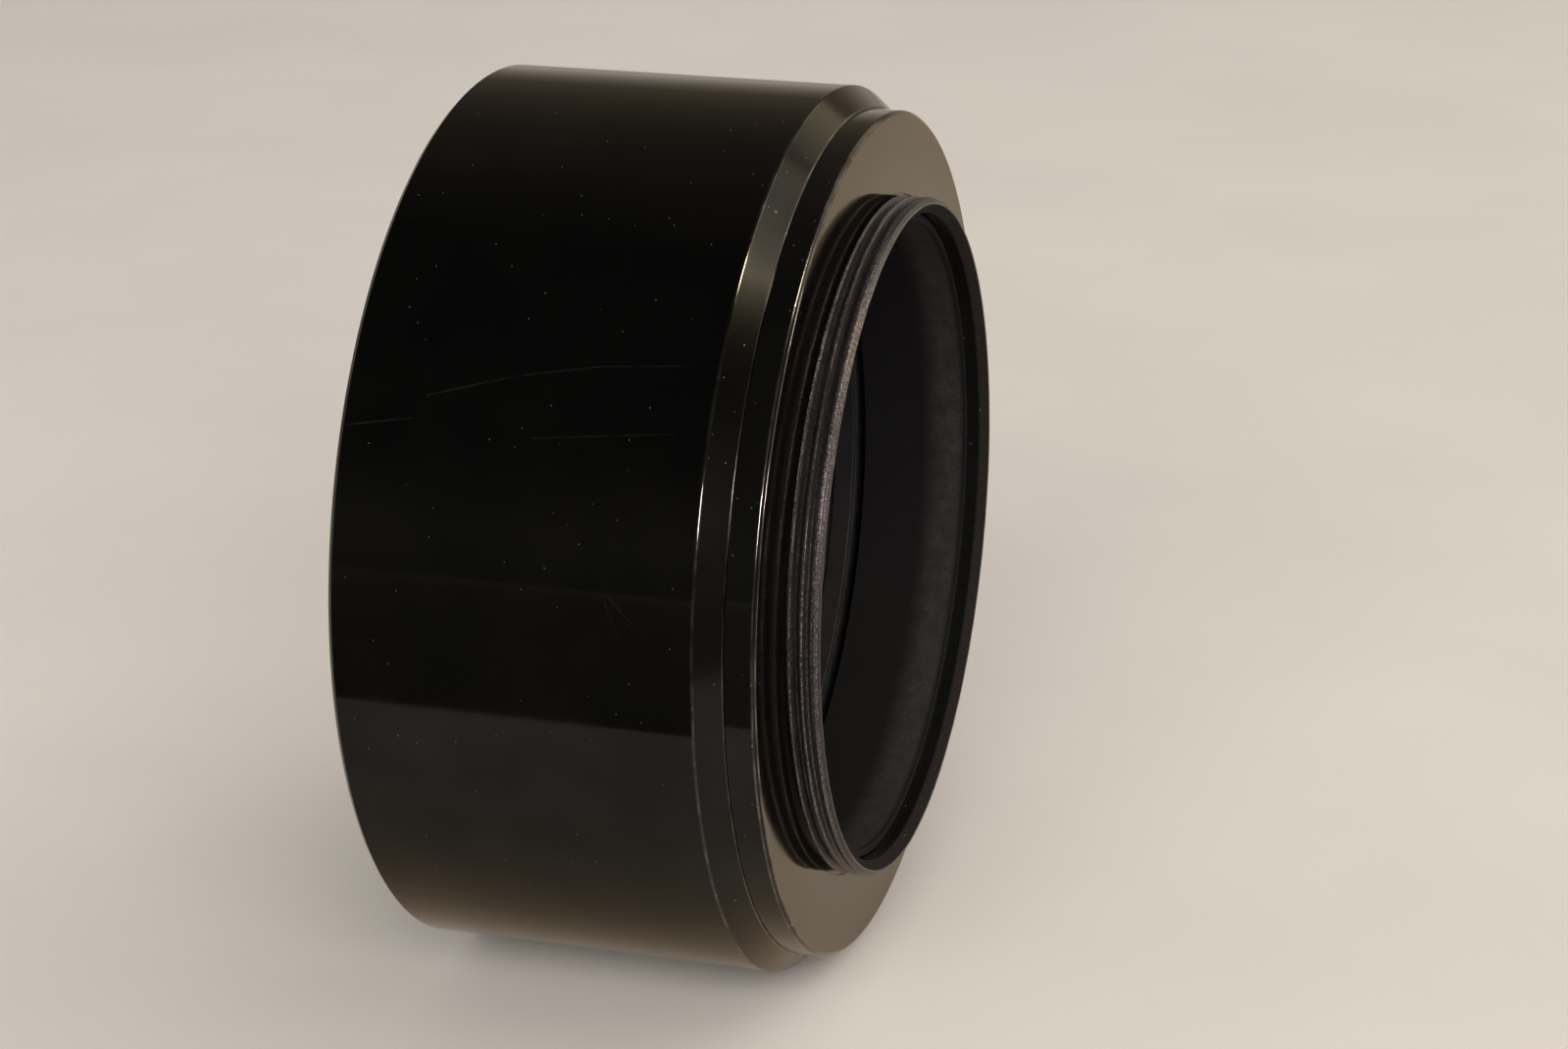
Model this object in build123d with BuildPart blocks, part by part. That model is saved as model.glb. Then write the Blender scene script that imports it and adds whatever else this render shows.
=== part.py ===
from build123d import *
import os
from math import sqrt

# A screw-in barlow: a black anodised tube with a male T thread nose at one end, a
# female T thread at the other, and a negative doublet in a threaded cell between them.
# The optical axis is X. X = 0 is the seat face that the nose thread stands out of,
# and the nose points to +X. The body lies on its side, with +Z up. Millimetres.

# ---- driving dimensions -----------------------------------------------------------
thread_pitch = 0.75             # every thread on the body is a fine 0.75 mm one
thread_depth = 0.46             # height of a 60 degree thread of that pitch
flank_run = 0.27                # length of one thread flank along the axis
crest_width = 0.15              # flat left on each crest
running_gap = 0.05              # radial clearance between a screwed piece and its seat

barrel_radius = 27.5
barrel_rear = -25.0
barrel_front = -1.8             # where the barrel stops and the nose ring's flange begins
bevel_drop = 1.25               # the bevel on the barrel's front edge, measured radially
bevel_run = 1.45                # and along the axis
rear_edge_chamfer = 0.3

ring_seat_radius = 25.0         # counterbore at each end, for the two end rings
ring_seat_depth = 4.6
land_radius = 22.5              # threaded middle of the barrel, for the lens cell

lip_radius = barrel_radius - bevel_drop
lip_step = 0.1                  # the barrel's front lip stands this far proud of the flange
flange_radius = lip_radius - lip_step
flange_chamfer = 0.2
nose_length = 2.2
nose_major_radius = 20.97       # M42 x 0.75 male thread
nose_relief_radius = 20.4
undercut_radius = 21.1          # groove round the thread's root, sunk in the seat face
undercut_depth = 0.15
nose_bore_radius = 20.0
nose_shank_rear = -5.6
lip_outer_radius = 20.68        # the thin lip left between the two chamfers at the tip
lip_inner_radius = 20.6
lip_inner_run = 0.5

sleeve_inner_radius = 19.5
sleeve_front = 0.85
sleeve_flange_radius = 22.0
sleeve_flange_thickness = 0.5

rear_thread_radius = 21.05      # root of the M42 x 0.75 female thread
rear_ring_front = -20.8
baffle_front = -20.2
baffle_aperture_radius = 17.0
baffle_edge_radius = 24.5

cell_front = -8.2
cell_rear = -18.4
cell_lip_radius = 16.6
cell_lip_thickness = 0.6
lock_ring_thickness = 1.3
lock_ring_inner_radius = 19.6

retainer_thread_radius = 19.5
retainer_thread_depth = 2.6
retainer_front = -8.6
retainer_inner_radius = 17.0
gasket_thickness = 0.4
gasket_inner_radius = 17.1
soft_ring_gap = 0.15            # the soft rings stand this far inside the glass bore

glass_radius = 18.0
glass_bore_radius = 18.05
polished_radius = 17.1          # curved part of each glass face, inside a flat rim
meniscus_front_curve = 150.0
meniscus_edge = 1.8
matched_curve = 90.0            # the two facing surfaces share this radius
air_gap = 0.2
biconcave_rear_curve = 140.0
biconcave_edge = 4.4

slot_width = 2.0
slot_depth = 0.8


# ---- shared shapes ----------------------------------------------------------------
def turn(points):
    """Revolve a closed outline of (x, radius) points about the optical axis."""
    with BuildSketch(Plane.XZ) as section:
        with BuildLine():
            Polyline(*points, close=True)
        make_face()
    revolve(section.sketch, axis=Axis.X)


def turned_lens(front_x, front_curve, rear_x, rear_curve):
    """Revolve a lens. A curve is the face's radius, positive where its middle is nearer +X."""
    with BuildSketch(Plane.XZ) as section:
        with BuildLine():
            face_arc(front_x, front_curve)
            Polyline(
                (front_x, polished_radius),
                (front_x, glass_radius),
                (rear_x, glass_radius),
                (rear_x, polished_radius),
            )
            face_arc(rear_x, rear_curve)
            Line((face_middle(rear_x, rear_curve), 0), (face_middle(front_x, front_curve), 0))
        make_face()
    revolve(section.sketch, axis=Axis.X)


def sagitta(curve, radius):
    """Depth of a spherical face of the given curve, out to the given radius."""
    return curve - sqrt(curve**2 - radius**2)


def face_middle(edge_x, curve):
    """Where a polished face whose rim is at edge_x meets the axis."""
    side = 1 if curve > 0 else -1
    return edge_x + side * sagitta(abs(curve), polished_radius)


def face_arc(edge_x, curve):
    """The arc of a polished face, from the axis to its flat rim."""
    side = 1 if curve > 0 else -1
    middle = face_middle(edge_x, curve)
    half = polished_radius / 2
    ThreePointArc(
        (middle, 0),
        (middle - side * sagitta(abs(curve), half), half),
        (edge_x, polished_radius),
    )


def thread_crests(first_crest, count, crest_radius, root_radius):
    """Outline points of a thread, as rings of one pitch, each with a flat crest."""
    points = []
    for turn_number in range(count):
        centre = first_crest + turn_number * thread_pitch
        points += [
            (centre - crest_width / 2 - flank_run, root_radius),
            (centre - crest_width / 2, crest_radius),
            (centre + crest_width / 2, crest_radius),
            (centre + crest_width / 2 + flank_run, root_radius),
        ]
    return points


def spanner_slots(face_x, into, radius):
    """Cut two opposite spanner slots into a ring's end face. into is -1 towards -X."""
    with Locations((face_x + into * slot_depth / 2, 0, 0)):
        Box(slot_depth, slot_width, 2 * radius, mode=Mode.SUBTRACT)


os.makedirs("parts", exist_ok=True)

# ---- barrel -----------------------------------------------------------------------
with BuildPart() as barrel:
    front_seat = barrel_front - ring_seat_depth
    turn([
        (barrel_rear, ring_seat_radius),
        (barrel_rear, barrel_radius - rear_edge_chamfer),
        (barrel_rear + rear_edge_chamfer, barrel_radius),
        (barrel_front - bevel_run, barrel_radius),
        (barrel_front, lip_radius),
        (barrel_front, ring_seat_radius),
        (front_seat, ring_seat_radius),
        (front_seat, land_radius),
        (baffle_front, land_radius),
        (baffle_front, ring_seat_radius),
    ])
barrel.part.label = "barrel"
export_step(barrel.part, "parts/barrel.step")

# ---- nose ring: flange, male T thread and the shank that screws into the barrel ----
with BuildPart() as nose_ring:
    shank_radius = ring_seat_radius - running_gap
    root_radius = nose_major_radius - thread_depth
    turn([
        (0, flange_radius - flange_chamfer),
        (0, undercut_radius),
        (-undercut_depth, undercut_radius),
        (-undercut_depth, nose_relief_radius),
        (0.2, nose_relief_radius),
        *thread_crests(0.6, 2, nose_major_radius, root_radius),
        (1.76, root_radius),
        (1.98, lip_outer_radius + nose_length - 1.98),
        (nose_length, lip_outer_radius),
        (nose_length, lip_inner_radius),
        (nose_length - lip_inner_run, nose_bore_radius),
        (nose_shank_rear, nose_bore_radius),
        (nose_shank_rear, shank_radius - 0.3),
        (nose_shank_rear + 0.3, shank_radius),
        (barrel_front, shank_radius),
        (barrel_front, flange_radius),
        (-flange_chamfer, flange_radius),
    ])
nose_ring.part.label = "nose_ring"
export_step(nose_ring.part, "parts/nose_ring.step")

# ---- nose sleeve: matt light trap that lines the nose ring --------------------------
with BuildPart() as nose_sleeve:
    sleeve_radius = nose_bore_radius - running_gap
    sleeve_rear = nose_shank_rear - sleeve_flange_thickness
    turn([
        (sleeve_front, sleeve_inner_radius),
        (sleeve_front, sleeve_radius),
        (nose_shank_rear, sleeve_radius),
        (nose_shank_rear, sleeve_flange_radius),
        (sleeve_rear, sleeve_flange_radius),
        (sleeve_rear, sleeve_inner_radius),
    ])
nose_sleeve.part.label = "nose_sleeve"
export_step(nose_sleeve.part, "parts/nose_sleeve.step")

# ---- rear ring: female T thread, screwed in flush with the barrel's rear face -------
with BuildPart() as rear_ring:
    rear_crest_radius = rear_thread_radius - thread_depth
    turn([
        (barrel_rear, ring_seat_radius - running_gap),
        (barrel_rear, rear_thread_radius + 0.2),
        *thread_crests(barrel_rear + 0.62, 5, rear_crest_radius, rear_thread_radius),
        (rear_ring_front, rear_thread_radius),
        (rear_ring_front, ring_seat_radius - running_gap),
    ])
    spanner_slots(barrel_rear, 1, ring_seat_radius)
rear_ring.part.label = "rear_ring"
export_step(rear_ring.part, "parts/rear_ring.step")

# ---- rear baffle: a disc with a sharp-edged aperture, trapped by the rear ring ------
with BuildPart() as rear_baffle:
    turn([
        (baffle_front, baffle_aperture_radius),
        (baffle_front, baffle_edge_radius),
        (rear_ring_front, baffle_edge_radius),
        (rear_ring_front, baffle_aperture_radius + 0.6),
    ])
rear_baffle.part.label = "rear_baffle"
export_step(rear_baffle.part, "parts/rear_baffle.step")

# ---- lens cell ----------------------------------------------------------------------
with BuildPart() as lens_cell:
    cell_radius = land_radius - running_gap
    turn([
        (cell_front, retainer_thread_radius),
        (cell_front, cell_radius - 0.3),
        (cell_front - 0.3, cell_radius),
        (cell_rear + 0.3, cell_radius),
        (cell_rear, cell_radius - 0.3),
        (cell_rear, cell_lip_radius),
        (cell_rear + cell_lip_thickness, cell_lip_radius),
        (cell_rear + cell_lip_thickness, glass_bore_radius),
        (cell_front - retainer_thread_depth, glass_bore_radius),
        (cell_front - retainer_thread_depth, retainer_thread_radius),
    ])
lens_cell.part.label = "lens_cell"
export_step(lens_cell.part, "parts/lens_cell.step")

# ---- lock ring, against the front of the cell ---------------------------------------
with BuildPart() as cell_lock_ring:
    lock_ring_front = cell_front + lock_ring_thickness
    turn([
        (cell_front, lock_ring_inner_radius),
        (cell_front, land_radius - running_gap),
        (lock_ring_front, land_radius - running_gap),
        (lock_ring_front, lock_ring_inner_radius),
    ])
    spanner_slots(lock_ring_front, -1, land_radius)
cell_lock_ring.part.label = "cell_lock_ring"
export_step(cell_lock_ring.part, "parts/cell_lock_ring.step")

# ---- what stands in the cell, worked out from its rear lip forwards -------------------
seat_ring_rear = cell_rear + cell_lip_thickness
biconcave_rear = seat_ring_rear + gasket_thickness
biconcave_front = biconcave_rear + biconcave_edge
meniscus_rear = biconcave_front + air_gap
meniscus_front = meniscus_rear + meniscus_edge
gasket_front = meniscus_front + gasket_thickness
soft_ring_radius = glass_bore_radius - soft_ring_gap

with BuildPart() as rear_seat_ring:
    turn([
        (seat_ring_rear, gasket_inner_radius),
        (seat_ring_rear, soft_ring_radius),
        (biconcave_rear, soft_ring_radius),
        (biconcave_rear, gasket_inner_radius),
    ])
rear_seat_ring.part.label = "rear_seat_ring"
export_step(rear_seat_ring.part, "parts/rear_seat_ring.step")

with BuildPart() as biconcave_element:
    turned_lens(biconcave_front, -matched_curve, biconcave_rear, biconcave_rear_curve)
biconcave_element.part.label = "biconcave_element"
export_step(biconcave_element.part, "parts/biconcave_element.step")

with BuildPart() as element_spacer:
    turn([
        (biconcave_front, gasket_inner_radius),
        (biconcave_front, glass_radius),
        (meniscus_rear, glass_radius),
        (meniscus_rear, gasket_inner_radius),
    ])
element_spacer.part.label = "element_spacer"
export_step(element_spacer.part, "parts/element_spacer.step")

with BuildPart() as meniscus_element:
    turned_lens(meniscus_front, -meniscus_front_curve, meniscus_rear, -matched_curve)
meniscus_element.part.label = "meniscus_element"
export_step(meniscus_element.part, "parts/meniscus_element.step")

with BuildPart() as seat_gasket:
    turn([
        (meniscus_front, gasket_inner_radius),
        (meniscus_front, soft_ring_radius),
        (gasket_front, soft_ring_radius),
        (gasket_front, gasket_inner_radius),
    ])
seat_gasket.part.label = "seat_gasket"
export_step(seat_gasket.part, "parts/seat_gasket.step")

# ---- retaining ring, screwed down on the gasket ---------------------------------------
with BuildPart() as retaining_ring:
    turn([
        (gasket_front, retainer_inner_radius),
        (gasket_front, retainer_thread_radius - running_gap),
        (retainer_front, retainer_thread_radius - running_gap),
        (retainer_front, retainer_inner_radius + 0.8),
    ])
    spanner_slots(retainer_front, -1, retainer_thread_radius)
retaining_ring.part.label = "retaining_ring"
export_step(retaining_ring.part, "parts/retaining_ring.step")
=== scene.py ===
import math

import bpy
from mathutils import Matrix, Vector


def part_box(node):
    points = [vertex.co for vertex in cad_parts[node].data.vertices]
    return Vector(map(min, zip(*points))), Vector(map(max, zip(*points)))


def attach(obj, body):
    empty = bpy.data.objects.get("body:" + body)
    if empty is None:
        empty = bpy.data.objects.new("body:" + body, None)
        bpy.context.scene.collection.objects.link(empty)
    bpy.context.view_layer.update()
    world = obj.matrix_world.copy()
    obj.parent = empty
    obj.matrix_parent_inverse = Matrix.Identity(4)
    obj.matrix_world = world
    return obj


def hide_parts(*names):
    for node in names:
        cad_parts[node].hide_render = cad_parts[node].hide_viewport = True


# A screw-in barlow lens, lying on its side on a sheet of pale paper.
# The optical axis is X, the nose points to +X, and X = 0 is the seat face.
# Outlines are (x, radius) points in millimetres. MM turns them into metres.

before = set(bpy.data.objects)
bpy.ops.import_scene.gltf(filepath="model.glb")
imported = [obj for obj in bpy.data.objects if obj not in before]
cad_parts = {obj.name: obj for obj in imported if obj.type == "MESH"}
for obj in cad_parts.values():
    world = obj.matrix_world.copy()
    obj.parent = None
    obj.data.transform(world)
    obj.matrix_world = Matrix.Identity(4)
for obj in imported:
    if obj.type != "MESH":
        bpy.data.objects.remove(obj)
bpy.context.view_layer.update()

MM = 0.001
FULL_TURN = 2 * math.pi


def span(node):
    """(rear x, front x, outer radius) of a CAD node, in millimetres."""
    low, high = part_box(node)
    return low.x / MM, high.x / MM, high.z / MM


# ---- dimensions ---------------------------------------------------------------------
BARREL_REAR, BARREL_FRONT, BARREL_RADIUS = span("barrel")
SHANK_REAR, NOSE_TIP, FLANGE_RADIUS = span("nose_ring")
SLEEVE_REAR, SLEEVE_FRONT, SLEEVE_FLANGE = span("nose_sleeve")
REAR_RING_FRONT = span("rear_ring")[1]
BAFFLE_REAR, BAFFLE_FRONT, BAFFLE_RADIUS = span("rear_baffle")
CELL_REAR, CELL_FRONT, CELL_RADIUS = span("lens_cell")
LOCK_FRONT = span("cell_lock_ring")[1]
RETAINER_REAR, RETAINER_FRONT, RETAINER_RADIUS = span("retaining_ring")
GASKET_REAR, GASKET_FRONT, SOFT_RADIUS = span("seat_gasket")
SEAT_RING_REAR, SEAT_RING_FRONT, _ = span("rear_seat_ring")
SPACER_REAR, SPACER_FRONT, GLASS_RADIUS = span("element_spacer")

THREAD_PITCH = 0.75
THREAD_DEPTH = 0.44
RUNNING_GAP = 0.05
BEVEL_RUN = 1.45
LIP_RADIUS = FLANGE_RADIUS + 0.1
SEAT_RADIUS = 25.0
SEAT_DEPTH = 4.6
LAND_RADIUS = CELL_RADIUS + RUNNING_GAP
NOSE_MAJOR = 20.97
NOSE_BORE = 20.0
NOSE_LIP_OUTER, NOSE_LIP_INNER = 20.68, 20.6
RELIEF_RADIUS = 20.4
SLEEVE_BORE = 19.5
REAR_THREAD_CREST = 20.59
APERTURE_RADIUS = 17.0
POLISHED_RADIUS = 17.1
FLOOR_LEVEL = -BARREL_RADIUS
SHARP_ANGLE = math.radians(34)


# ---- turned shapes ------------------------------------------------------------------
HOLD = 1.08  # how far along its flat a fillet's hold point is, where the fillet ends at 1
ROOT_FLAT, FLANK = 0.14, 0.70  # shares of half a thread pitch


def rounded(corners, steps=4):
    """A closed outline from corners (x, radius, fillet[, thread]), with each corner that has
    a fillet radius rounded off by it. thread is the (crest, depth) that lathe() cuts."""
    outline = []
    for index, (x, r, fillet, *thread) in enumerate(corners):
        if not fillet:
            outline.append((x, r, *thread))
            continue
        corner = Vector((x, r))
        before = Vector(corners[index - 1][:2]) - corner
        after = Vector(corners[(index + 1) % len(corners)][:2]) - corner
        reach = min(
            fillet / math.tan(before.angle(after) / 2),
            before.length * 0.45,
            after.length * 0.45,
        )
        start = corner + before.normalized() * reach
        end = corner + after.normalized() * reach
        # a point just before and just after the fillet keeps the flats shaded as flats
        outline.append(tuple(corner + (start - corner) * HOLD))
        for step in range(steps + 1):
            t = step / steps
            point = start.lerp(corner, t).lerp(corner.lerp(end, t), t)
            outline.append(tuple(point))
        outline.append(tuple(corner + (end - corner) * HOLD))
    return outline


def threaded(start, end, crest, depth=THREAD_DEPTH, spacing=0.09, wall=None):
    """Outline points along a wall that a thread is cut into, about spacing apart. A negative
    depth is a female thread, and depth(x) is one that fades out. wall(x), where given, is a
    surface that the crests stop at, such as a chamfer."""
    count = max(2, round(abs(end - start) / spacing))
    points = []
    for index in range(count + 1):
        x = start + (end - start) * index / count
        cut = depth(x) if callable(depth) else depth
        points.append((x, wall(x) if wall else crest, 0, (crest, cut)))
    return points


def groove(x, angle):
    """0 on the crest and 1 at the root of a right-hand 60 degree thread, along x."""
    along = (x / THREAD_PITCH - angle / FULL_TURN) % 1.0
    ramp = (abs(along - 0.5) * 2 - ROOT_FLAT) / FLANK
    ramp = min(1.0, max(0.0, ramp))
    eased = ramp * ramp * (3 - 2 * ramp)
    return 1 - 0.65 * ramp - 0.35 * eased


def lathe(name, outline, segments=288):
    """Spin a closed outline round the X axis, cutting the helical threads that it asks for."""
    verts, faces = [], []
    count = len(outline)
    for segment in range(segments):
        angle = FULL_TURN * segment / segments
        across, up = math.cos(angle) * MM, math.sin(angle) * MM
        for x, r, *thread in outline:
            if thread:
                crest, depth = thread[0]
                cut = crest - depth * groove(x, angle)
                r = min(r, cut) if depth > 0 else max(r, cut)
            verts.append((x * MM, r * across, r * up))
        here, there = segment * count, (segment + 1) % segments * count
        for i in range(count):
            j = (i + 1) % count
            faces.append((here + i, here + j, there + j, there + i))
    return finished(name, verts, faces)


def finished(name, verts, faces):
    """An object in the scene, smooth but for its sharp edges."""
    mesh = bpy.data.meshes.new(name)
    mesh.from_pydata(verts, [], faces)
    mesh.validate()
    for face in mesh.polygons:
        face.use_smooth = True
    mesh.set_sharp_from_angle(angle=SHARP_ANGLE)
    piece = bpy.data.objects.new(name, mesh)
    bpy.context.scene.collection.objects.link(piece)
    return piece


def lens(name, front_x, front_curve, rear_x, rear_curve, segments=192, rings=20):
    """A glass element. A curve is a face's radius, positive where its middle is nearer +X."""

    def face(edge_x, curve):
        side, curve = math.copysign(1, curve), abs(curve)
        edge_depth = math.sqrt(curve**2 - POLISHED_RADIUS**2)
        radii = [POLISHED_RADIUS * ring / rings for ring in range(rings + 1)]
        return [(edge_x + side * (math.sqrt(curve**2 - r**2) - edge_depth), r) for r in radii]

    bevel = 0.15
    rim_radius = GLASS_RADIUS - bevel
    front, rear = face(front_x, front_curve), face(rear_x, rear_curve)
    rim = [
        (front_x, rim_radius),
        (front_x - bevel, GLASS_RADIUS),
        (rear_x + bevel, GLASS_RADIUS),
        (rear_x, rim_radius),
    ]
    line = front[1:] + rim + rear[:0:-1]
    verts = [(front[0][0] * MM, 0, 0), (rear[0][0] * MM, 0, 0)]
    faces = []
    count = len(line)
    for segment in range(segments):
        angle = FULL_TURN * segment / segments
        for x, r in line:
            verts.append((x * MM, r * math.cos(angle) * MM, r * math.sin(angle) * MM))
        here, there = 2 + segment * count, 2 + (segment + 1) % segments * count
        faces.append((0, here, there))
        for i in range(count - 1):
            faces.append((here + i, here + i + 1, there + i + 1, there + i))
        faces.append((1, there + count - 1, here + count - 1))
    return finished(name, verts, faces)


def cut_slots(piece, face_x, reach, width=2.0, depth=0.8):
    """Two opposite spanner slots across the end face of a ring, top and bottom."""
    bpy.ops.mesh.primitive_cube_add(size=1, location=(face_x * MM, 0, 0))
    cutter = bpy.context.object
    cutter.dimensions = (2 * depth * MM, width * MM, 2.2 * reach * MM)
    bpy.context.view_layer.update()
    cut = piece.modifiers.new("slots", "BOOLEAN")
    cut.operation, cut.solver, cut.object = "DIFFERENCE", "EXACT", cutter
    with bpy.context.temp_override(object=piece, active_object=piece):
        bpy.ops.object.modifier_apply(modifier=cut.name)
    bpy.data.objects.remove(cutter)
    piece.data.set_sharp_from_angle(angle=SHARP_ANGLE)


def place(piece, body, node, material):
    """Hang a finished piece on its body, in place of the CAD node that it stands for."""
    piece.data.materials.clear()
    piece.data.materials.append(material)
    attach(piece, body)
    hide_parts(node)


# ---- materials ----------------------------------------------------------------------
class Graph:
    """A material's node tree, with short calls to add and link its nodes."""

    def __init__(self, name):
        self.material = bpy.data.materials.new(name)
        self.material.use_nodes = True
        self.tree = self.material.node_tree
        self.shader = self.tree.nodes["Principled BSDF"]
        self.place = self.add("ShaderNodeTexCoord").outputs["Object"]
        self.x, y, z = self.add("ShaderNodeSeparateXYZ", in0=self.place).outputs
        square = self.math("ADD", self.math("POWER", y, 2.0), self.math("POWER", z, 2.0))
        self.radius = self.math("SQRT", square)
        # 0 on the -Y side, a quarter turn at the top
        self.angle = self.math("ARCTAN2", z, self.math("MULTIPLY", y, -1.0))

    def add(self, kind, settings=None, **inputs):
        node = self.tree.nodes.new(kind)
        for key, value in (settings or {}).items():
            setattr(node, key, value)
        for key, value in inputs.items():
            self.feed(node, int(key[2:]) if key.startswith("in") else key, value)
        return node

    def feed(self, node, socket, value):
        """Link a value to a node's socket, or set the socket to it if it is a constant."""
        if isinstance(value, bpy.types.NodeSocket):
            self.tree.links.new(value, node.inputs[socket])
        else:
            node.inputs[socket].default_value = value

    def set(self, **values):
        """Constants on the shader's own sockets, such as specular_tint=..."""
        for key, value in values.items():
            name = key.replace("_", " ").title().replace("Ior", "IOR")
            self.feed(self.shader, name, value)

    def math(self, operation, *values):
        node = self.add("ShaderNodeMath", {"operation": operation})
        for index, value in enumerate(values):
            self.feed(node, index, value)
        return node.outputs[0]

    def product(self, *values):
        total = values[0]
        for value in values[1:]:
            total = self.math("MULTIPLY", total, value)
        return total

    def most(self, *values):
        total = values[0]
        for value in values[1:]:
            total = self.math("MAXIMUM", total, value)
        return total

    def noise(self, size, detail=3.0, vector=None):
        """Noise whose features are about size millimetres across, from 0 to 1."""
        scale = 1 / (size * MM) if vector is None else 1.0
        node = self.add("ShaderNodeTexNoise", Scale=scale, Detail=detail)
        self.feed(node, "Vector", vector or self.place)
        return node.outputs["Fac"]

    def turning_marks(self, spacing, stretch=2.5):
        """Noise drawn out round the axis, as a lathe tool leaves it."""
        line = self.add(
            "ShaderNodeCombineXYZ",
            in0=self.math("DIVIDE", self.x, spacing * MM),
            in1=self.math("DIVIDE", self.radius, spacing * MM),
            in2=self.math("MULTIPLY", self.angle, stretch),
        )
        return self.noise(1.0, 2.0, line.outputs[0])

    def ramp(self, value, low, high, to_low=0.0, to_high=1.0):
        """A smooth step from to_low, where value is low, to to_high, where it is high."""
        node = self.add("ShaderNodeMapRange", {"interpolation_type": "SMOOTHSTEP"})
        for socket, number in enumerate((value, low, high, to_low, to_high)):
            self.feed(node, socket, number)
        return node.outputs[0]

    def mix(self, factor, first, second):
        """The first colour where factor is 0 and the second where it is 1."""
        node = self.add("ShaderNodeMix", {"data_type": "RGBA"})
        for socket, value in ((0, factor), (6, first), (7, second)):
            self.feed(node, socket, value)
        return node.outputs[2]

    def specks(self, spacing, size, share):
        """Round specks of a given size, in a share of cells a spacing apart."""
        cells = self.add("ShaderNodeTexVoronoi", Vector=self.place, Scale=1 / (spacing * MM))
        chosen = self.add("ShaderNodeSeparateColor", in0=cells.outputs["Color"]).outputs[0]
        kept = self.math("LESS_THAN", chosen, share)
        near = self.math("LESS_THAN", cells.outputs["Distance"], size / spacing)
        return self.math("MULTIPLY", kept, near)

    def edge(self, x, radius, width):
        """1 on a round edge at (x, radius), fading out over width. All in millimetres."""
        along = self.math("POWER", self.math("SUBTRACT", self.x, x * MM), 2.0)
        out = self.math("POWER", self.math("SUBTRACT", self.radius, radius * MM), 2.0)
        away = self.math("SQRT", self.math("ADD", along, out))
        return self.ramp(away, width * MM, 0.35 * width * MM)

    def scratch(self, x0, angle0, x1, angle1, width):
        """1 along a straight fine scratch, from (x0, angle0) to (x1, angle1) on the barrel.
        x is in millimetres and the angle in degrees."""
        rise = (angle1 - angle0) / (x1 - x0) / MM * math.radians(1)
        line = self.math("MULTIPLY_ADD", self.x, rise, math.radians(angle0) - rise * x0 * MM)
        away = self.math("ABSOLUTE", self.math("SUBTRACT", self.angle, line))
        across = self.ramp(away, width / BARREL_RADIUS, 0.3 * width / BARREL_RADIUS)
        inside = self.math("COMPARE", self.x, (x0 + x1) / 2 * MM, abs(x1 - x0) / 2 * MM)
        return self.math("MULTIPLY", across, inside)

    def bump(self, height, distance, strength=1.0):
        node = self.add("ShaderNodeBump", Strength=strength, Distance=distance * MM, Height=height)
        self.feed(self.shader, "Normal", node.outputs[0])


ANODISED_BLACK = (0.021, 0.021, 0.0205, 1)
ANODISED_HAZE = (0.028, 0.027, 0.026, 1)
ANODISED_TINT = (0.94, 0.85, 0.73, 1)
RUBBED_METAL = (0.20, 0.19, 0.175, 1)
BARE_METAL = (0.5, 0.49, 0.47, 1)
THREAD_GREY = (0.19, 0.160, 0.172, 1)
CHAMFER_BLACK, CHAMFER_GRIT = (0.006, 0.006, 0.006, 1), (0.014, 0.0125, 0.012, 1)
DUST = (0.45, 0.46, 0.46, 1)


def anodised(name, edges=(), scratches=(), satin=None, thread_wear=False):
    """Gloss black anodised aluminium. edges are (x, radius, width, amount) where it is rubbed
    thin, scratches are Graph.scratch's values and an amount, and satin is an (x from, x to)
    band that is less polished than the rest."""
    g = Graph(name)
    g.set(metallic=1.0, specular_tint=ANODISED_TINT)
    haze = g.noise(6.0, 5.0)
    color = g.mix(g.ramp(haze, 0.35, 0.75), ANODISED_BLACK, ANODISED_HAZE)
    rough = g.ramp(haze, 0.3, 0.75, 0.05, 0.11)
    if satin:
        inside = g.math("COMPARE", g.x, sum(satin) / 2 * MM, (satin[1] - satin[0]) / 2 * MM)
        rough = g.most(rough, g.product(inside, 0.16))
    if edges:
        color, rough = rubbed_edges(g, edges, color, rough)
    if scratches:
        color, rough = scratched(g, scratches, color, rough)
    if thread_wear:
        color, rough = worn_nose(g, color, rough)
    dust = g.most(g.specks(0.8, 0.045, 0.5), g.specks(3.1, 0.09, 0.25))
    color = g.mix(g.product(dust, 0.3), color, DUST)
    rough = g.most(rough, g.product(dust, 0.8))
    g.feed(g.shader, "Base Color", color)
    g.feed(g.shader, "Roughness", rough)
    height = g.math("MULTIPLY_ADD", g.noise(0.35, 4.0), 0.35, g.turning_marks(0.05))
    g.bump(height, 0.0012, 0.35)
    return g.material


def rubbed_edges(g, edges, color, rough):
    """Rims where the black is rubbed thin, with bare nicks here and there."""
    rims = g.most(*[g.product(g.edge(*rim), amount) for *rim, amount in edges])
    lighter_mask = g.product(rims, g.ramp(g.noise(1.6, 6.0), 0.36, 0.68, 0.25, 1.0))
    nick = g.product(rims, g.ramp(g.noise(0.5, 5.0), 0.66, 0.72))
    color = g.mix(nick, g.mix(lighter_mask, color, RUBBED_METAL), BARE_METAL)
    return color, g.most(rough, g.product(lighter_mask, 0.22))


def scratched(g, scratches, color, rough):
    """Fine scratches down to the metal, each fainter in places."""
    lines = g.most(*[g.product(g.scratch(*line), amount) for *line, amount in scratches])
    mask = g.product(lines, g.ramp(g.noise(1.2, 4.0), 0.3, 0.6, 0.2, 1.0))
    return g.mix(mask, color, BARE_METAL), g.most(rough, g.product(mask, 0.5))


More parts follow.
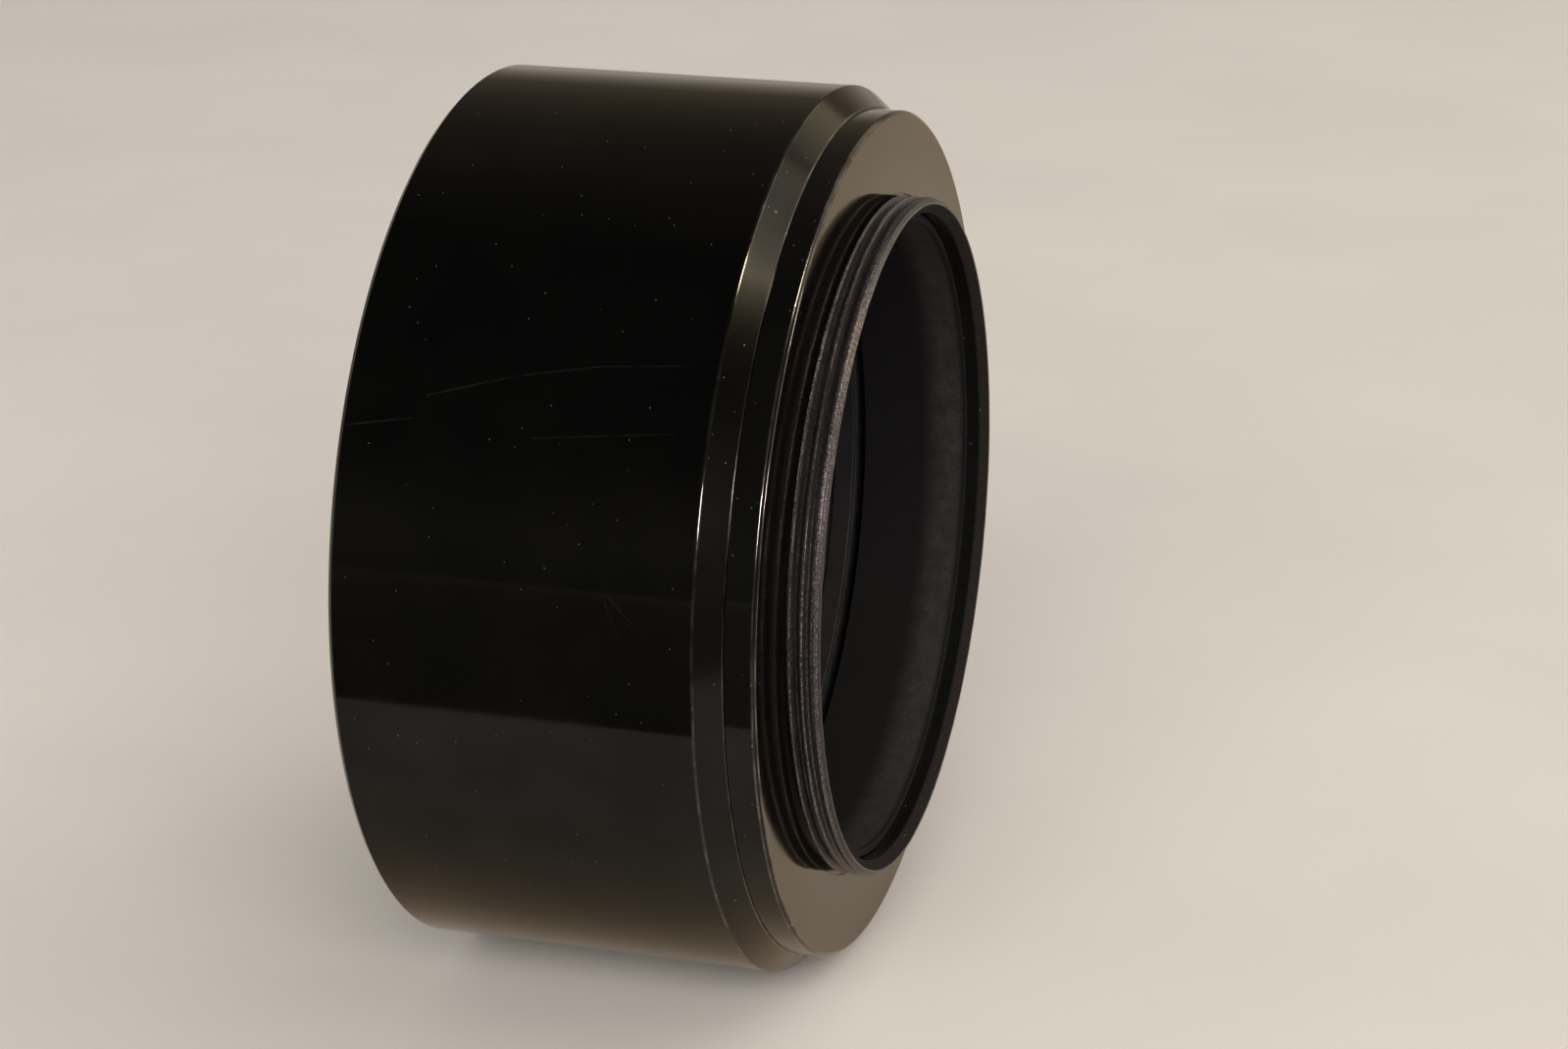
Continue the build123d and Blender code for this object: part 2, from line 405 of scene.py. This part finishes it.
def worn_nose(g, color, rough):
    """The nose thread, rubbed to a purplish grey, most of all on its crests and at its tip,
    and the chamfer inside its lip, which is as matt as the bore behind it."""
    beyond_seat = g.math("GREATER_THAN", g.x, 0.05 * MM)
    on_nose = g.product(beyond_seat, g.math("LESS_THAN", g.radius, (NOSE_MAJOR + 0.02) * MM))
    outside = g.math("GREATER_THAN", g.radius, (RELIEF_RADIUS + 0.05) * MM)
    on_thread = g.product(on_nose, outside)
    crest = g.ramp(g.radius, (NOSE_MAJOR - 0.06) * MM, (NOSE_MAJOR - 0.015) * MM, 0.32, 1.0)
    tip = g.ramp(g.x, (NOSE_TIP - 1.0) * MM, (NOSE_TIP - 0.75) * MM, 0.0, 0.6)
    grit = g.ramp(g.noise(0.10, 6.0), 0.44, 0.62, 0.10, 1.0)
    fine_lines = g.ramp(g.turning_marks(0.13, 0.8), 0.44, 0.58, 0.25, 1.0)
    rub = g.product(g.most(crest, tip), grit, fine_lines, on_thread)
    color = g.mix(rub, color, THREAD_GREY)
    rough = g.most(rough, g.product(on_thread, 0.40))

    within_lip = g.math("LESS_THAN", g.radius, (NOSE_LIP_INNER - 0.03) * MM)
    near_tip = g.math("GREATER_THAN", g.x, (NOSE_TIP - 0.6) * MM)
    chamfer = g.product(on_nose, within_lip, near_tip)
    color = g.mix(chamfer, color, g.mix(grit, CHAMFER_BLACK, CHAMFER_GRIT))
    rough = g.most(rough, g.product(chamfer, 0.75))

    # the seat face shines more like bare metal towards its rim
    polished = g.math("MULTIPLY_ADD", rub, -0.7, g.ramp(g.radius, 22.0 * MM, 25.5 * MM, 0.80, 0.96))
    g.feed(g.shader, "Metallic", g.product(polished, g.math("SUBTRACT", 1.0, chamfer)))
    g.feed(g.shader, "Specular IOR Level", g.math("MULTIPLY_ADD", chamfer, -0.45, 0.5))
    return color, rough


def matt_anodised(name, painted_light_beyond=None):
    """Matt black anodising, with painted light: a lighter grey beyond a radius in millimetres,
    standing in for light on a face that lies in shade.
    """
    g = Graph(name)
    g.set(specular_tint=(1.0, 0.95, 0.95, 1), specular_ior_level=0.3)
    marks = g.turning_marks(0.12)
    color = g.mix(marks, (0.0035, 0.0034, 0.0035, 1), (0.0065, 0.0062, 0.0064, 1))
    if painted_light_beyond:
        # painted light: the colour turns a lighter grey outside the given radius, unevenly
        outside = g.ramp(g.radius, painted_light_beyond * MM, (painted_light_beyond + 0.5) * MM)
        painted_light = g.product(outside, g.ramp(g.noise(0.8, 5.0), 0.3, 0.6, 0.6, 1.0))
        color = g.mix(painted_light, color, (0.055, 0.050, 0.049, 1))
    g.feed(g.shader, "Base Color", color)
    g.feed(g.shader, "Roughness", g.ramp(g.noise(1.5), 0.3, 0.7, 0.50, 0.64))
    g.bump(marks, 0.01, 0.5)
    return g.material


def matt_paint(name):
    """Light-trap paint: flat black and gritty, with painted light: a faint purple grey lit band
    near the mouth, kept black at its very front edge, and painted shade deeper in.
    """
    g = Graph(name)
    g.set(specular_ior_level=0.12)
    grit = g.noise(0.14, 6.0)
    patchy = g.ramp(g.noise(0.9, 6.0), 0.30, 0.68, 0.62, 1.0)
    # painted light and shade: the lit band near the mouth is a paler, patchy and gritty paint
    # colour, and the paint is darker deeper in
    mouth = g.ramp(g.x, -2.3 * MM, -0.5 * MM)
    behind_edge = g.ramp(g.x, (SLEEVE_FRONT - 0.05) * MM, (SLEEVE_FRONT - 0.5) * MM)
    lighter_mask = g.product(patchy, mouth, behind_edge, g.ramp(grit, 0.3, 0.7, 0.5, 1.0))
    color = g.mix(lighter_mask, (0.0036, 0.0033, 0.0034, 1), (0.030, 0.0255, 0.0265, 1))
    fleck = g.specks(2.2, 0.07, 0.10)
    g.feed(g.shader, "Base Color", g.mix(g.product(fleck, 0.6), color, DUST))
    g.feed(g.shader, "Roughness", g.ramp(grit, 0.3, 0.7, 0.68, 0.9))
    g.bump(grit, 0.03, 0.6)
    return g.material


def rubber(name):
    """Soft black rubber with a pale bloom."""
    g = Graph(name)
    g.set(specular_ior_level=0.35)
    bloom = g.noise(1.2, 5.0)
    g.feed(g.shader, "Base Color", g.mix(bloom, (0.014, 0.014, 0.014, 1), (0.032, 0.031, 0.03, 1)))
    g.feed(g.shader, "Roughness", g.ramp(bloom, 0.3, 0.7, 0.55, 0.75))
    g.bump(g.noise(0.2, 4.0), 0.01, 0.4)
    return g.material


def foil(name):
    """Rolled brass shim."""
    g = Graph(name)
    g.set(metallic=1.0)
    marks = g.turning_marks(0.2)
    g.feed(g.shader, "Base Color", g.mix(marks, (0.52, 0.39, 0.2, 1), (0.68, 0.55, 0.3, 1)))
    g.feed(g.shader, "Roughness", g.ramp(marks, 0.3, 0.7, 0.22, 0.38))
    return g.material


def coated_glass(name, ior, film):
    """Polished glass with a coating film nanometres thick, and a few grains of dust."""
    g = Graph(name)
    g.set(transmission_weight=1.0, ior=ior, thin_film_thickness=film, thin_film_ior=1.38)
    dust = g.specks(1.6, 0.05, 0.06)
    g.feed(g.shader, "Base Color", g.mix(dust, (0.95, 0.975, 0.965, 1), (0.5, 0.5, 0.5, 1)))
    g.feed(g.shader, "Roughness", g.product(dust, 0.6))
    return g.material


# ---- pieces -------------------------------------------------------------------------
def barrel():
    rear, front, seat = BARREL_REAR, BARREL_FRONT, SEAT_RADIUS
    outline = rounded([
        (rear, seat + 0.15, 0.05),
        (rear, BARREL_RADIUS - 0.3, 0.07),
        (rear + 0.3, BARREL_RADIUS, 0.12),
        (front - BEVEL_RUN, BARREL_RADIUS, 0.16),
        (front, LIP_RADIUS, 0.22),
        (front, seat + 0.15, 0.05),
        (front - 0.15, seat, 0),
        *threaded(front - 0.3, front - SEAT_DEPTH + 0.5, seat, -THREAD_DEPTH),
        (front - SEAT_DEPTH + 0.45, seat, 0),
        (front - SEAT_DEPTH, seat, 0),
        (front - SEAT_DEPTH, LAND_RADIUS, 0.05),
        *threaded(front - SEAT_DEPTH - 0.3, CELL_FRONT - 1.0, LAND_RADIUS, -THREAD_DEPTH),
        (CELL_FRONT - 1.1, LAND_RADIUS, 0),
        (BAFFLE_FRONT, LAND_RADIUS, 0),
        (BAFFLE_FRONT, seat, 0),
        (BAFFLE_FRONT - 0.2, seat, 0),
        *threaded(BAFFLE_FRONT - 0.5, rear + 0.35, seat, -THREAD_DEPTH),
        (rear + 0.15, seat, 0),
    ])
    edges = [
        (front - BEVEL_RUN, BARREL_RADIUS, 0.13, 0.5),
        (front, LIP_RADIUS, 0.12, 0.55),
        (rear, BARREL_RADIUS - 0.3, 0.12, 0.35),
    ]
    # (x, angle) to (x, angle), width and amount; the first three are one curved scratch
    scratches = [
        (-20.0, 31.0, -15.0, 34.2, 0.045, 0.22),
        (-15.0, 34.2, -10.0, 36.3, 0.045, 0.20),
        (-10.0, 36.3, -5.2, 37.2, 0.045, 0.15),
        (-13.5, 27.0, -5.2, 29.0, 0.045, 0.13),
        (-24.6, 26.6, -20.6, 28.2, 0.045, 0.24),
        (-9.0, 12.0, -7.4, 4.0, 0.04, 0.12),
        (-8.4, 10.0, -6.0, 5.0, 0.04, 0.10),
    ]
    satin_bevel = (front - BEVEL_RUN + 0.06, front + 0.1)
    black = anodised("barrel_black", edges, scratches, satin_bevel)
    place(lathe("barrel_shell", outline, 480), "barrel", "barrel", black)


def nose_ring():
    tip, shank = NOSE_TIP, SEAT_RADIUS - RUNNING_GAP
    undercut = 21.1

    def worn_depth(x):
        """The thread is worn shallow over its last turn, at the tip."""
        return THREAD_DEPTH * min(1.0, max(0.22, (tip - 0.35 - x) / 0.5))

    outline = rounded([
        (BARREL_FRONT, FLANGE_RADIUS, 0),
        (-0.2, FLANGE_RADIUS, 0.14),
        (0, FLANGE_RADIUS - 0.2, 0.14),
        (0, undercut, 0.03),
        (-0.15, undercut, 0),
        (-0.15, RELIEF_RADIUS, 0),
        (0.12, RELIEF_RADIUS, 0),
        *threaded(0.2, tip - 0.02, NOSE_MAJOR, worn_depth, 0.03,
                  wall=lambda x: min(NOSE_MAJOR, NOSE_LIP_OUTER + tip - x)),
        (tip, NOSE_LIP_OUTER, 0),
        (tip, NOSE_LIP_INNER, 0.02),
        (tip - 0.5, NOSE_BORE, 0.03),
        (SHANK_REAR, NOSE_BORE, 0.04),
        (SHANK_REAR, shank - 0.3, 0.05),
        *threaded(SHANK_REAR + 0.05, BARREL_FRONT - 0.5, shank, spacing=0.12,
                  wall=lambda x: min(shank, shank - 0.25 + x - SHANK_REAR)),
        (BARREL_FRONT - 0.45, shank - THREAD_DEPTH, 0),
        (BARREL_FRONT, shank - THREAD_DEPTH, 0),
    ])
    edges = [
        (0, FLANGE_RADIUS - 0.2, 0.12, 0.7),
        (-0.2, FLANGE_RADIUS, 0.10, 0.6),
        (tip, NOSE_LIP_INNER, 0.12, 0.55),
    ]
    black = anodised("nose_ring_black", edges, satin=(-0.19, -0.01), thread_wear=True)
    place(lathe("nose_ring_body", outline, 640), "nose_ring", "nose_ring", black)


def nose_sleeve():
    outer, inner = NOSE_BORE - RUNNING_GAP, SLEEVE_BORE
    outline = rounded([
        (SLEEVE_FRONT, inner, 0.06),
        (SLEEVE_FRONT, outer, 0.04),
        (SHANK_REAR, outer, 0),
        (SHANK_REAR, SLEEVE_FLANGE, 0.05),
        (SLEEVE_REAR, SLEEVE_FLANGE, 0.05),
        (SLEEVE_REAR, inner, 0.05),
    ])
    tube = lathe("nose_sleeve_tube", outline, 320)
    place(tube, "nose_carrier", "nose_sleeve", matt_paint("sleeve_matt_paint"))


def rear_ring():
    rear, front, outer = BARREL_REAR, REAR_RING_FRONT, SEAT_RADIUS - RUNNING_GAP
    crest = REAR_THREAD_CREST
    mouth = crest + 0.62
    outline = rounded([
        (front, outer - 0.3, 0.04),
        (front, crest + THREAD_DEPTH, 0.04),
        *threaded(front - 0.3, rear + 0.02, crest, -THREAD_DEPTH, 0.045,
                  wall=lambda x: max(crest, crest + 0.6 - (x - rear))),
        (rear, mouth, 0.04),
        (rear, outer - 0.3, 0.05),
        *threaded(rear + 0.3, front - 0.3, outer, spacing=0.06),
    ])
    edges = [(rear, mouth, 0.13, 0.5), (rear, outer - 0.3, 0.10, 0.4)]
    ring = lathe("rear_ring_body", outline, 400)
    cut_slots(ring, rear, SEAT_RADIUS)
    place(ring, "rear_ring", "rear_ring", anodised("rear_ring_black", edges))


def rear_baffle():
    outline = rounded([
        (BAFFLE_FRONT, APERTURE_RADIUS, 0),
        (BAFFLE_FRONT, BAFFLE_RADIUS, 0.05),
        (BAFFLE_REAR, BAFFLE_RADIUS, 0.05),
        (BAFFLE_REAR, APERTURE_RADIUS + 0.6, 0.03),
    ])
    disc = lathe("rear_baffle_disc", outline, 256)
    place(disc, "rear_carrier", "rear_baffle", matt_paint("baffle_matt_paint"))


def lens_cell():
    glass_bore, lip, seat = GLASS_RADIUS + RUNNING_GAP, 16.6, CELL_REAR + 0.6
    thread_crest, thread_rear = RETAINER_RADIUS + RUNNING_GAP, CELL_FRONT - 2.6
    outline = rounded([
        (CELL_FRONT, thread_crest + 0.3, 0.05),
        (CELL_FRONT, CELL_RADIUS - 0.3, 0.05),
        *threaded(CELL_FRONT - 0.1, CELL_REAR + 0.1, CELL_RADIUS, spacing=0.07),
        (CELL_REAR, CELL_RADIUS - 0.5, 0.05),
        (CELL_REAR, lip, 0.04),
        (seat, lip, 0.04),
        (seat, glass_bore, 0),
        (thread_rear, glass_bore, 0.03),
        (thread_rear, thread_crest, 0),
        *threaded(thread_rear + 0.3, CELL_FRONT - 0.3, thread_crest, -THREAD_DEPTH, 0.06),
    ])
    metal = matt_anodised("cell_matt_black")
    place(lathe("lens_cell_body", outline, 320), "lens_cell", "lens_cell", metal)


def cell_lock_ring():
    inner = 19.6
    outline = rounded([
        (CELL_FRONT, inner, 0.06),
        (CELL_FRONT, CELL_RADIUS - 0.2, 0),
        *threaded(CELL_FRONT + 0.1, LOCK_FRONT - 0.1, CELL_RADIUS, spacing=0.06),
        (LOCK_FRONT, CELL_RADIUS - 0.2, 0),
        (LOCK_FRONT, inner, 0.08),
    ])
    ring = lathe("cell_lock_ring_body", outline, 288)
    cut_slots(ring, LOCK_FRONT, LAND_RADIUS)
    # the lock ring's face gets painted light, a lighter grey, where it lies in shade deep in the
    # bore
    metal = matt_anodised("lock_ring_matt_black", painted_light_beyond=inner + 0.1)
    place(ring, "lens_cell", "cell_lock_ring", metal)


def retaining_ring():
    inner = 17.0
    outline = rounded([
        (RETAINER_REAR, inner, 0.04),
        (RETAINER_REAR, RETAINER_RADIUS - 0.3, 0),
        *threaded(RETAINER_REAR + 0.15, RETAINER_FRONT - 0.15, RETAINER_RADIUS, spacing=0.06),
        (RETAINER_FRONT, RETAINER_RADIUS - 0.3, 0),
        (RETAINER_FRONT, inner + 0.8, 0.06),
    ])
    ring = lathe("retaining_ring_body", outline, 288)
    cut_slots(ring, RETAINER_FRONT, RETAINER_RADIUS + RUNNING_GAP)
    metal = matt_anodised("retainer_matt_black")
    place(ring, "retaining_ring", "retaining_ring", metal)


def soft_ring(name, rear, front, body, node):
    """A flat gasket with well rounded edges."""
    inner, bead = 17.1, 0.15
    outline = rounded([
        (rear, inner, bead),
        (rear, SOFT_RADIUS, bead),
        (front, SOFT_RADIUS, bead),
        (front, inner, bead),
    ], 6)
    place(lathe(name, outline, 192), body, node, rubber(name + "_rubber"))


def glass_and_spacer():
    place(
        lens("meniscus_glass", GASKET_REAR, -150.0, SPACER_FRONT, -90.0),
        "glass_stack", "meniscus_element", coated_glass("flint", 1.62, 115.0),
    )
    place(
        lens("biconcave_glass", SPACER_REAR, -90.0, SEAT_RING_FRONT, 140.0),
        "glass_stack", "biconcave_element", coated_glass("crown", 1.517, 105.0),
    )
    outline = rounded([
        (SPACER_REAR, POLISHED_RADIUS, 0.03),
        (SPACER_REAR, GLASS_RADIUS, 0.03),
        (SPACER_FRONT, GLASS_RADIUS, 0.03),
        (SPACER_FRONT, POLISHED_RADIUS, 0.03),
    ], 2)
    spacer = lathe("element_spacer_shim", outline, 192)
    place(spacer, "glass_stack", "element_spacer", foil("spacer_foil_metal"))


barrel()
nose_ring()
nose_sleeve()
rear_ring()
rear_baffle()
lens_cell()
cell_lock_ring()
retaining_ring()
soft_ring("front_seat_gasket", GASKET_REAR, GASKET_FRONT, "retainer_carrier", "seat_gasket")
soft_ring("rear_seat_gasket", SEAT_RING_REAR, SEAT_RING_FRONT, "glass_stack", "rear_seat_ring")
glass_and_spacer()


# ---- camera -------------------------------------------------------------------------
CAMERA_AZIMUTH, CAMERA_ELEVATION = 16.44, 18.92
CAMERA_DISTANCE = 227.65
LOOKED_AT = (-6.02, 0, 0.08)
FOCAL_LENGTH, FILM_WIDTH = 83.875, 36.0


def direction(azimuth, elevation):
    """A unit vector. Azimuth 0 is -Y and 90 is +X, in degrees."""
    a, e = math.radians(azimuth), math.radians(elevation)
    return Vector((math.sin(a) * math.cos(e), -math.cos(a) * math.cos(e), math.sin(e)))


def add_camera():
    data = bpy.data.cameras.new("camera")
    data.lens, data.sensor_width = FOCAL_LENGTH, FILM_WIDTH
    data.clip_start, data.clip_end = 0.01, 20
    camera = bpy.data.objects.new("camera", data)
    bpy.context.scene.collection.objects.link(camera)
    bpy.context.scene.camera = camera
    towards_camera = direction(CAMERA_AZIMUTH, CAMERA_ELEVATION)
    camera.location = (Vector(LOOKED_AT) + towards_camera * CAMERA_DISTANCE) * MM
    camera.rotation_euler = towards_camera.to_track_quat("Z", "Y").to_euler()


# ---- floor and light ----------------------------------------------------------------
PAPER_SHADE, PAPER_PALE = (0.655, 0.603, 0.548, 1), (0.685, 0.631, 0.573, 1)
TABLE_DARK, TABLE_PALE = (0.15, 0.145, 0.14, 1), (0.19, 0.18, 0.17, 1)
ROOM_LIGHT = (0.29, 0.295, 0.29, 1)


def paper():
    """Plain pale paper, very slightly cloudy."""
    g = Graph("pale_paper")
    g.set(roughness=0.95, specular_ior_level=0.1)
    cloudy = g.ramp(g.noise(45.0, 3.0), 0.3, 0.7)
    g.feed(g.shader, "Base Color", g.mix(cloudy, PAPER_SHADE, PAPER_PALE))
    g.bump(g.noise(0.8, 6.0), 0.05, 0.25)
    return g.material


def add_floor():
    bpy.ops.mesh.primitive_circle_add(vertices=96, radius=2.0, fill_type="NGON")
    floor = bpy.context.object
    floor.name = "floor"
    floor.location.z = FLOOR_LEVEL * MM
    floor.data.materials.append(paper())


def add_dark_table():
    """The table beyond the paper's front and right edges, which only the gloss shows."""
    g = Graph("dark_table_top")
    g.set(roughness=1.0, specular_ior_level=0.0)
    g.feed(g.shader, "Base Color", g.mix(g.noise(60.0), TABLE_DARK, TABLE_PALE))
    for name, x, y, width, depth in (
        ("dark_table_front", 0, -1.06, 4, 2),
        ("dark_table_right", 0.80, 0.44, 1.4, 1.0),
    ):
        middle = (x, y, (FLOOR_LEVEL + 0.05) * MM)
        bpy.ops.mesh.primitive_plane_add(size=1, location=middle)
        table = bpy.context.object
        table.name = name
        table.scale = (width, depth, 1)
        table.visible_camera = table.visible_diffuse = table.visible_shadow = False
        table.visible_transmission = table.visible_volume_scatter = False
        table.data.materials.append(g.material)


def area_light(name, azimuth, elevation, distance, size, radiance, color, shows="BOTH"):
    """A soft light that faces the origin. radiance is how bright its surface looks. shows
    picks what it lights: DIFFUSE leaves it out of reflections, GLOSS leaves only those."""
    towards = direction(azimuth, elevation)
    data = bpy.data.lights.new(name, "AREA")
    data.shape = "RECTANGLE"
    data.size, data.size_y = size
    data.energy = radiance * math.pi * size[0] * size[1]
    data.color = color
    lamp = bpy.data.objects.new(name, data)
    lamp.location = towards * distance
    lamp.rotation_euler = towards.to_track_quat("Z", "Y").to_euler()
    lamp.visible_glossy = shows != "DIFFUSE"
    lamp.visible_diffuse = shows != "GLOSS"
    bpy.context.scene.collection.objects.link(lamp)


def add_room():
    """A dim room. Its reflections are darker high up and in front, and pale low behind."""
    world = bpy.data.worlds.new("room")
    bpy.context.scene.world = world
    world.use_nodes = True
    tree = world.node_tree
    background = tree.nodes["Background"]
    where = tree.nodes.new("ShaderNodeTexCoord")
    axes = tree.nodes.new("ShaderNodeSeparateXYZ")
    tree.links.new(where.outputs["Generated"], axes.inputs[0])

    def brightness(height, stops):
        """A slightly warm grey by height, from (height, value) stops."""
        ramp = tree.nodes.new("ShaderNodeValToRGB")
        for index, (position, value) in enumerate(stops):
            if index < 2:
                stop = ramp.color_ramp.elements[index]
                stop.position = position
            else:
                stop = ramp.color_ramp.elements.new(position)
            stop.color = (value, value * 0.96, value * 0.9, 1)
        tree.links.new(height, ramp.inputs[0])
        return ramp.outputs[0]

    # the two ends of each ramp come first, and then the stops between them
    front_stops = [(0.0, 0.18), (1.0, 0.09), (0.18, 0.21), (0.5, 0.12)]
    behind_stops = [(0.0, 0.5), (1.0, 0.09), (0.12, 0.40), (0.3, 0.18), (0.85, 0.19)]
    front = brightness(axes.outputs[2], front_stops)
    behind = brightness(axes.outputs[2], behind_stops)
    side = tree.nodes.new("ShaderNodeMapRange")
    tree.links.new(axes.outputs[1], side.inputs[0])
    side.inputs[1].default_value, side.inputs[2].default_value = -0.05, 0.15
    seen = tree.nodes.new("ShaderNodeMix")
    seen.data_type = "RGBA"
    for socket, source in ((0, side.outputs[0]), (6, front), (7, behind)):
        tree.links.new(source, seen.inputs[socket])
    ray = tree.nodes.new("ShaderNodeLightPath")
    light = tree.nodes.new("ShaderNodeMix")
    light.data_type = "RGBA"
    light.inputs[6].default_value = ROOM_LIGHT
    tree.links.new(ray.outputs["Is Glossy Ray"], light.inputs[0])
    tree.links.new(seen.outputs[2], light.inputs[7])
    tree.links.new(light.outputs[2], background.inputs[0])


add_camera()
add_floor()
add_dark_table()
area_light("ceiling", 95, 58, 0.85, (1.0, 1.0), 0.88, (1.0, 0.985, 0.95), "DIFFUSE")
area_light("front_fill", 16, 24, 1.6, (2.0, 1.0), 6.0, (1.0, 0.97, 0.955), "DIFFUSE")
area_light("key", 121, 34, 0.9, (0.52, 0.42), 1.5, (1.0, 0.93, 0.78))
area_light("wall", 152, 24, 0.9, (0.42, 0.42), 1.0, (1.0, 0.94, 0.80))
area_light("lamp", 95, 50, 0.9, (0.12, 0.14), 100.0, (1.0, 0.82, 0.50), "GLOSS")
area_light("low_lamp", 116, 13, 0.9, (0.09, 0.10), 55.0, (1.0, 0.82, 0.52), "GLOSS")
area_light("window", 46, 15, 1.0, (0.12, 0.18), 130.0, (1.0, 0.86, 0.88), "GLOSS")
area_light("low_window", 90, 4, 1.0, (0.07, 0.10), 60.0, (1.0, 0.86, 0.88), "GLOSS")
area_light("screen", -64, 5, 1.0, (0.06, 0.25), 8.0, (0.70, 0.96, 1.0), "GLOSS")
add_room()
bpy.context.scene.view_settings.view_transform = "Standard"
